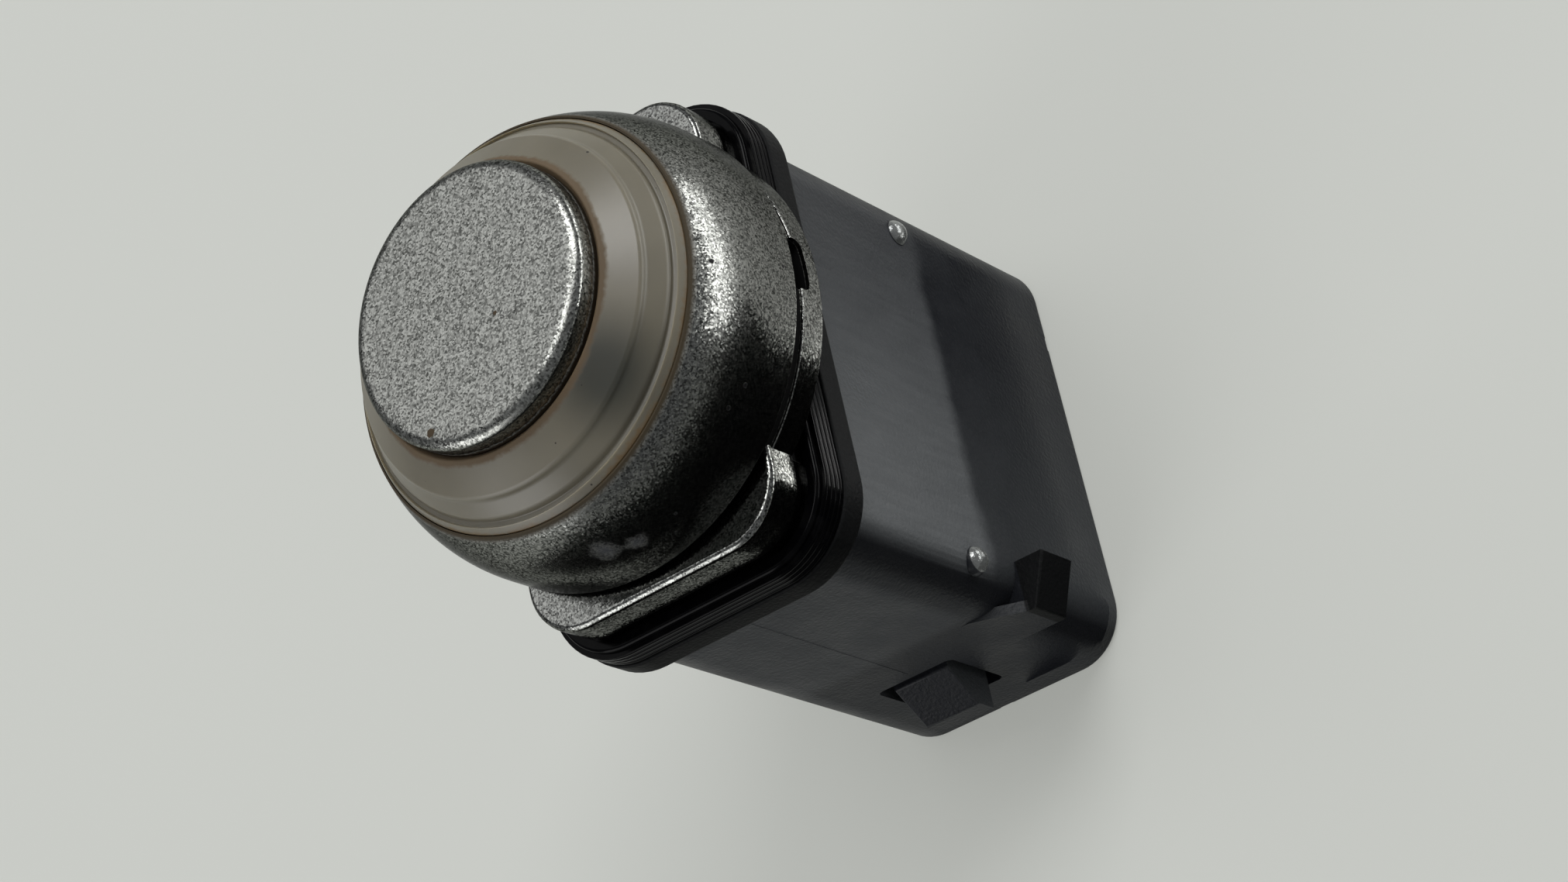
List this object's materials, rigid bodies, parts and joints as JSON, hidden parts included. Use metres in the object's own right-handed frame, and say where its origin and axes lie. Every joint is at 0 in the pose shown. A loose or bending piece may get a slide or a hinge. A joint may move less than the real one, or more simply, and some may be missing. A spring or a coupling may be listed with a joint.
{
  "type": "parking sensor",
  "caption": "Ultrasonic parking sensor: silver membrane cup in a soft ring, domed trim ring and frame, black box housing with latch teeth and a rear connector socket.",
  "frame": {"origin": "centre of the rear rim, which the part stands on", "axes": "+Z along the sensing axis, out of the sensing face; +X out of the wide side with the corner tooth at its -Y end; -Y out of the narrow side with the wedge latch"},
  "size_m": [0.0239, 0.0284, 0.0424],
  "materials": {
    "cup_paint": "silver metallic paint over metal",
    "trim_paint": "silver metallic paint under clear coat",
    "frame_paint": "silver metallic paint under clear coat",
    "soft_silicone": "dull translucent silicone, a little dirty",
    "seal_rubber": "black, slightly glossy",
    "housing_plastic": "satin moulded black",
    "connector_plastic": "satin moulded black",
    "piezo_ceramic": "silvered ceramic",
    "felt": "grey felt",
    "foam": "dark foam",
    "filler_silicone": "pale silicone",
    "lead_red": "insulated wire",
    "lead_black": "insulated wire",
    "board_laminate": "green solder mask",
    "ferrite": "dark sintered ferrite",
    "copper_winding": "enamelled copper",
    "chip_plastic": "black moulded package",
    "can_metal": "plain can",
    "chip_ceramic": "tan ceramic body",
    "resistor_ceramic": "black glazed body",
    "terminal_tin": "tinned"
  },
  "bodies": {
    "root": {"membrane_cup": "cup_paint", "piezo_disc": "piezo_ceramic", "damping_pad": "felt", "cup_filler": "filler_silicone", "signal_lead": "lead_red", "return_lead": "lead_black", "decoupling_ring": "soft_silicone", "backing_foam": "foam", "trim_ring": "trim_paint", "base_frame": "frame_paint", "flange_seal": "seal_rubber", "housing": "housing_plastic", "connector_shell": "connector_plastic", "shell_seal": "seal_rubber", "circuit_board": "board_laminate", "transformer_core": "ferrite", "transformer_winding": "copper_winding", "driver_chip": "chip_plastic", "storage_capacitor": "can_metal", "chip_capacitors": "chip_ceramic", "chip_resistors": "resistor_ceramic", "terminal_supply": "terminal_tin", "terminal_signal": "terminal_tin", "terminal_ground": "terminal_tin"}
  },
  "joints": []
}
